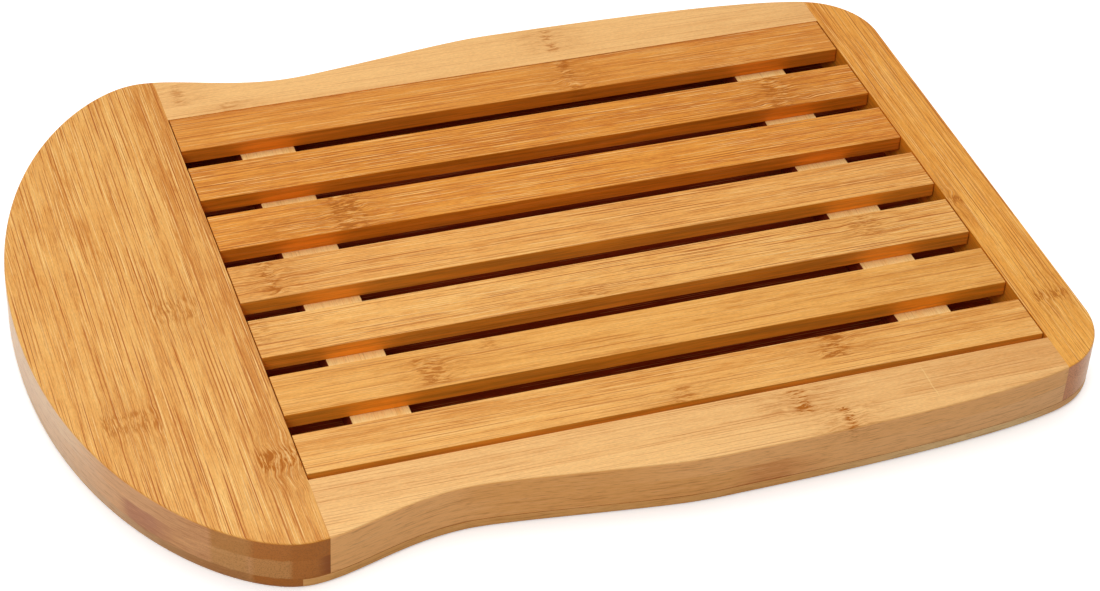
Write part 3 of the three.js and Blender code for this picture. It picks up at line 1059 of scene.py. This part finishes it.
def make_materials():
    # The tone shifts given to the tail rail, the rails and the slats paint the light's falloff towards
    # the back and the tail end.
    made = {
        "head_board": bamboo(
            "head_bamboo", TONES["head"], "Y", STRIP_EDGES["head"], MARKS["head"], seed=1, lines=1.5,
            figure=1.5, walls=HEAD_WALLS, patches=HEAD_PATCHES),
        "tail_rail": bamboo(
            "tail_bamboo", TONES["tail"], "Y", STRIP_EDGES["tail"], MARKS["tail"], seed=2, lines=1.3,
            figure=1.2, walls=TAIL_WALLS, painted_falloff=TAIL_PAINTED_FALLOFF),
        "front_rail": bamboo(
            "front_rail_bamboo", TONES["rail"], "X", STRIP_EDGES["front_rail"], MARKS["front_rail"],
            seed=3, lines=0.7, figure=0.4, walls=RAIL_WALLS, scratches=FRONT_SCRATCHES,
            painted_falloff=FRONT_PAINTED_FALLOFF),
        "back_rail": bamboo(
            "back_rail_bamboo", TONES["rail"], "X", STRIP_EDGES["back_rail"], MARKS["back_rail"],
            seed=4, lines=0.45, figure=0.4, walls=RAIL_WALLS, painted_falloff=BACK_PAINTED_FALLOFF),
        # The tray floor's top is painted shade in dark tones; its underside takes slat_1's natural tones
        # and its outer rim the wall tones.
        "tray_floor": bamboo(
            "floor_bamboo", TONES["floor"], "X", strip_edge=0, marks=(), seed=5, lines=0.8,
            walls=FLOOR_WALLS, gloss=FLOOR_GLOSS, below=TONES["slat_1"]),
        # The crossbars' tops have their own pale tone; their sides are painted shade.
        "crossbar": bamboo(
            "crossbar_bamboo", TONES["crossbar"], "Y", strip_edge=0, marks=(), seed=6, lines=0.3,
            sides=CROSSBAR_SIDE_PAINTED_SHADE, side_share=1, gloss=FLOOR_GLOSS),
        "dowel": bamboo(
            "dowel_wood", TONES["rail"], "X", strip_edge=0, marks=(), seed=7, lines=0.5, side_share=0),
        "pin": steel("pin_steel"),
    }
    for seed, (slat, lines, sides) in enumerate(zip(SLATS, SLAT_LINES, SLAT_SIDES), FIRST_SLAT_SEED):
        made[slat] = bamboo(
            f"{slat}_bamboo", TONES[slat], "X", STRIP_EDGES[slat], MARKS[slat], seed, lines,
            sides=sides, painted_falloff=SLAT_PAINTED_FALLOFF)
    return made


# Camera, light and floor

CAMERA_PLACE = Vector((-275.9, -760.5, 651.8)) * MM
CAMERA_AZIMUTH = math.radians(-20.86)
CAMERA_ELEVATION = math.radians(39.11)
CAMERA_ROLL = math.radians(3.42)
CAMERA_LENS = 89.66
SENSOR_WIDTH = 36
CLIP_START = 0.05
CLIP_END = 50

WORLD_LEVEL = 0.3
KEY_LEVEL = 0.43
KEY_AZIMUTH = math.radians(150)
KEY_ELEVATION = math.radians(66)
KEY_ANGLE = math.radians(50)
# Softboxes, as (name, place, point it faces, side, watts), in metres
SOFTBOXES = (
    ("back_softbox", (-0.05, 0.64, 0.92), (-0.1, -0.05, 0), 0.5, 2.1),
    ("left_softbox", (-0.6, -0.55, 0.75), (-0.05, -0.02, 0), 0.5, 3.3),
)
FLOOR_SIZE = 8
FLOOR_GREY = (0.6, 0.6, 0.6, 1)
FLOOR_LIFT = 0.4
FLOOR_ROUGHNESS = 1.0


def facing(azimuth, elevation):
    """The direction from the object towards an eye or lamp at that azimuth and elevation."""
    return Vector((
        math.sin(azimuth) * math.cos(elevation), -math.cos(azimuth) * math.cos(elevation),
        math.sin(elevation)))


def turn_along(direction):
    """The turn that makes a camera or lamp look in that direction."""
    return direction.to_track_quat("-Z", "Y")


def add_camera():
    data = bpy.data.cameras.new("camera")
    data.lens = CAMERA_LENS
    data.sensor_width = SENSOR_WIDTH
    data.clip_start = CLIP_START
    data.clip_end = CLIP_END
    camera = new_object("camera", data)
    turn = turn_along(-facing(CAMERA_AZIMUTH, CAMERA_ELEVATION)).to_matrix().to_4x4()
    camera.matrix_world = (
        Matrix.Translation(CAMERA_PLACE) @ turn @ Matrix.Rotation(CAMERA_ROLL, 4, "Z"))
    bpy.context.scene.camera = camera


def add_key_lamp():
    data = bpy.data.lights.new("key", "SUN")
    data.energy = KEY_LEVEL * math.pi
    data.angle = KEY_ANGLE
    lamp = new_object("key", data)
    lamp.rotation_euler = turn_along(-facing(KEY_AZIMUTH, KEY_ELEVATION)).to_euler()


def add_softboxes():
    for name, place, target, side, watts in SOFTBOXES:
        data = bpy.data.lights.new(name, "AREA")
        data.shape = "SQUARE"
        data.size = side
        data.energy = watts
        lamp = new_object(name, data)
        lamp.location = place
        lamp.rotation_euler = turn_along(Vector(target) - Vector(place)).to_euler()


def background_rays(nodes):
    """1 for the rays that see the white background, from the camera, off a gloss or through glass."""
    path = nodes.node("ShaderNodeLightPath")
    seen = path.outputs["Is Camera Ray"]
    for kind in ("Is Glossy Ray", "Is Transmission Ray"):
        seen = nodes.math("MAXIMUM", seen, path.outputs[kind])
    return seen


def add_world():
    world = bpy.data.worlds.new("studio")
    bpy.context.scene.world = world
    world.use_nodes = True
    nodes = Nodes(world.node_tree)
    level = nodes.node("ShaderNodeMix")
    nodes.feed(level.inputs[0], background_rays(nodes))
    nodes.feed(level.inputs[LEVEL_FIRST], WORLD_LEVEL)
    nodes.feed(level.inputs[LEVEL_SECOND], 1)
    background = world.node_tree.nodes["Background"]
    nodes.feed(background.inputs["Color"], WHITE)
    nodes.feed(background.inputs["Strength"], level.outputs[0])


def add_floor():
    shader = Shader("studio_floor")
    seen = background_rays(shader)
    shader.feed(shader.surface.inputs["Emission Color"], WHITE)
    shader.feed(shader.surface.inputs["Emission Strength"], shader.product(seen, FLOOR_LIFT))
    material = shader.finish(shader.mix(seen, FLOOR_GREY, WHITE), FLOOR_ROUGHNESS, gloss=0)
    half = FLOOR_SIZE / 2

    def build(body):
        corners = [(-half, -half, 0), (half, -half, 0), (half, half, 0), (-half, half, 0)]
        body.faces.new([body.verts.new(corner) for corner in corners])

    new_object("studio_floor", mesh_from("studio_floor", build), material)


def main():
    materials = make_materials()
    add_camera()
    add_frame_boards(materials)
    add_dowels(materials["dowel"])
    add_grid_bars(materials)
    add_pins(materials["pin"])
    add_key_lamp()
    add_softboxes()
    add_world()
    add_floor()
    bpy.context.scene.view_settings.view_transform = "Standard"


main()
